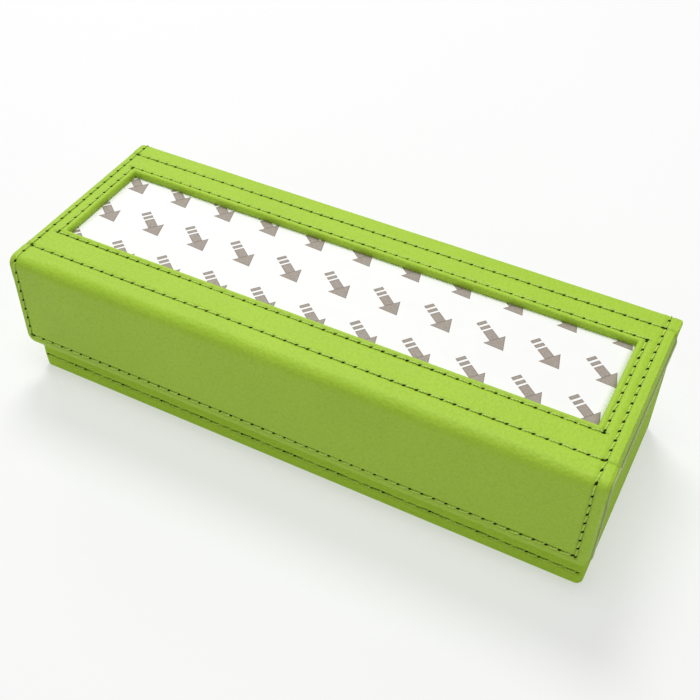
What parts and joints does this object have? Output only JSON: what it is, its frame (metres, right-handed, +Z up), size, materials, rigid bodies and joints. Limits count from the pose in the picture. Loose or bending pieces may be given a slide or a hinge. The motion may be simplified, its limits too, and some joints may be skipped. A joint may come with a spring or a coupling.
{
  "type": "card deck box",
  "caption": "Long leather-covered box for decks of cards: a divided tray, a hinged lid with a label window, and a soft front flap held shut by magnets.",
  "frame": {"origin": "middle of the box's footprint, on the surface it stands on", "axes": "+X along the length to the right, +Y to the rear, +Z up; the flap faces -Y"},
  "size_m": [0.2074, 0.0786, 0.0525],
  "materials": {
    "leather_green": "lime green leatherette, fine pebble grain, soft satin sheen",
    "thread_green": "twisted polyester sewing thread in the leather's green",
    "lining": "pale green brushed microfibre, matt",
    "grey_board": "dense grey board, matt",
    "base_cloth": "black woven backing cloth, matt",
    "liner_paper": null,
    "adhesive": "clear double-sided adhesive film",
    "steel": "plain nickel-plated discs"
  },
  "bodies": {
    "tray": {"bottom_sheet": "base_cloth", "floor_board": "grey_board", "front_board": "grey_board", "back_board": "grey_board", "left_end_board": "grey_board", "right_end_board": "grey_board", "tray_cover": "leather_green", "left_bay_lining": "lining", "right_bay_lining": "lining", "divider_board": "grey_board", "divider_cover": "lining", "keeper_plates": "steel", "rear_panel_cover": "leather_green", "rear_panel_stitching": "thread_green", "tray_front_stitching": "thread_green"},
    "lid": {"lid_cover": "leather_green", "lid_board": "grey_board", "window_backing_board": "grey_board", "lid_lining": "lining", "adhesive_sheet": "adhesive", "release_liner": "liner_paper", "lid_side_stitching": "thread_green", "window_stitching": "thread_green", "rear_fold_stitching": "thread_green", "front_fold_stitching": "thread_green"},
    "flap": {"flap_cover": "leather_green", "flap_board": "grey_board", "flap_lining": "lining", "flap_magnets": "steel", "flap_stitching": "thread_green"}
  },
  "joints": [
    {"name": "lid_hinge", "type": "hinge", "parent": "tray", "child": "lid", "pos_m": [0, 0.03853, 0.05163], "axis": [-1, 0, 0], "range_deg": [0, 180]},
    {"name": "flap_hinge", "type": "hinge", "parent": "lid", "child": "flap", "pos_m": [0, -0.03706, 0.05016], "axis": [-1, 0, 0], "range_deg": [0, 100]}
  ]
}
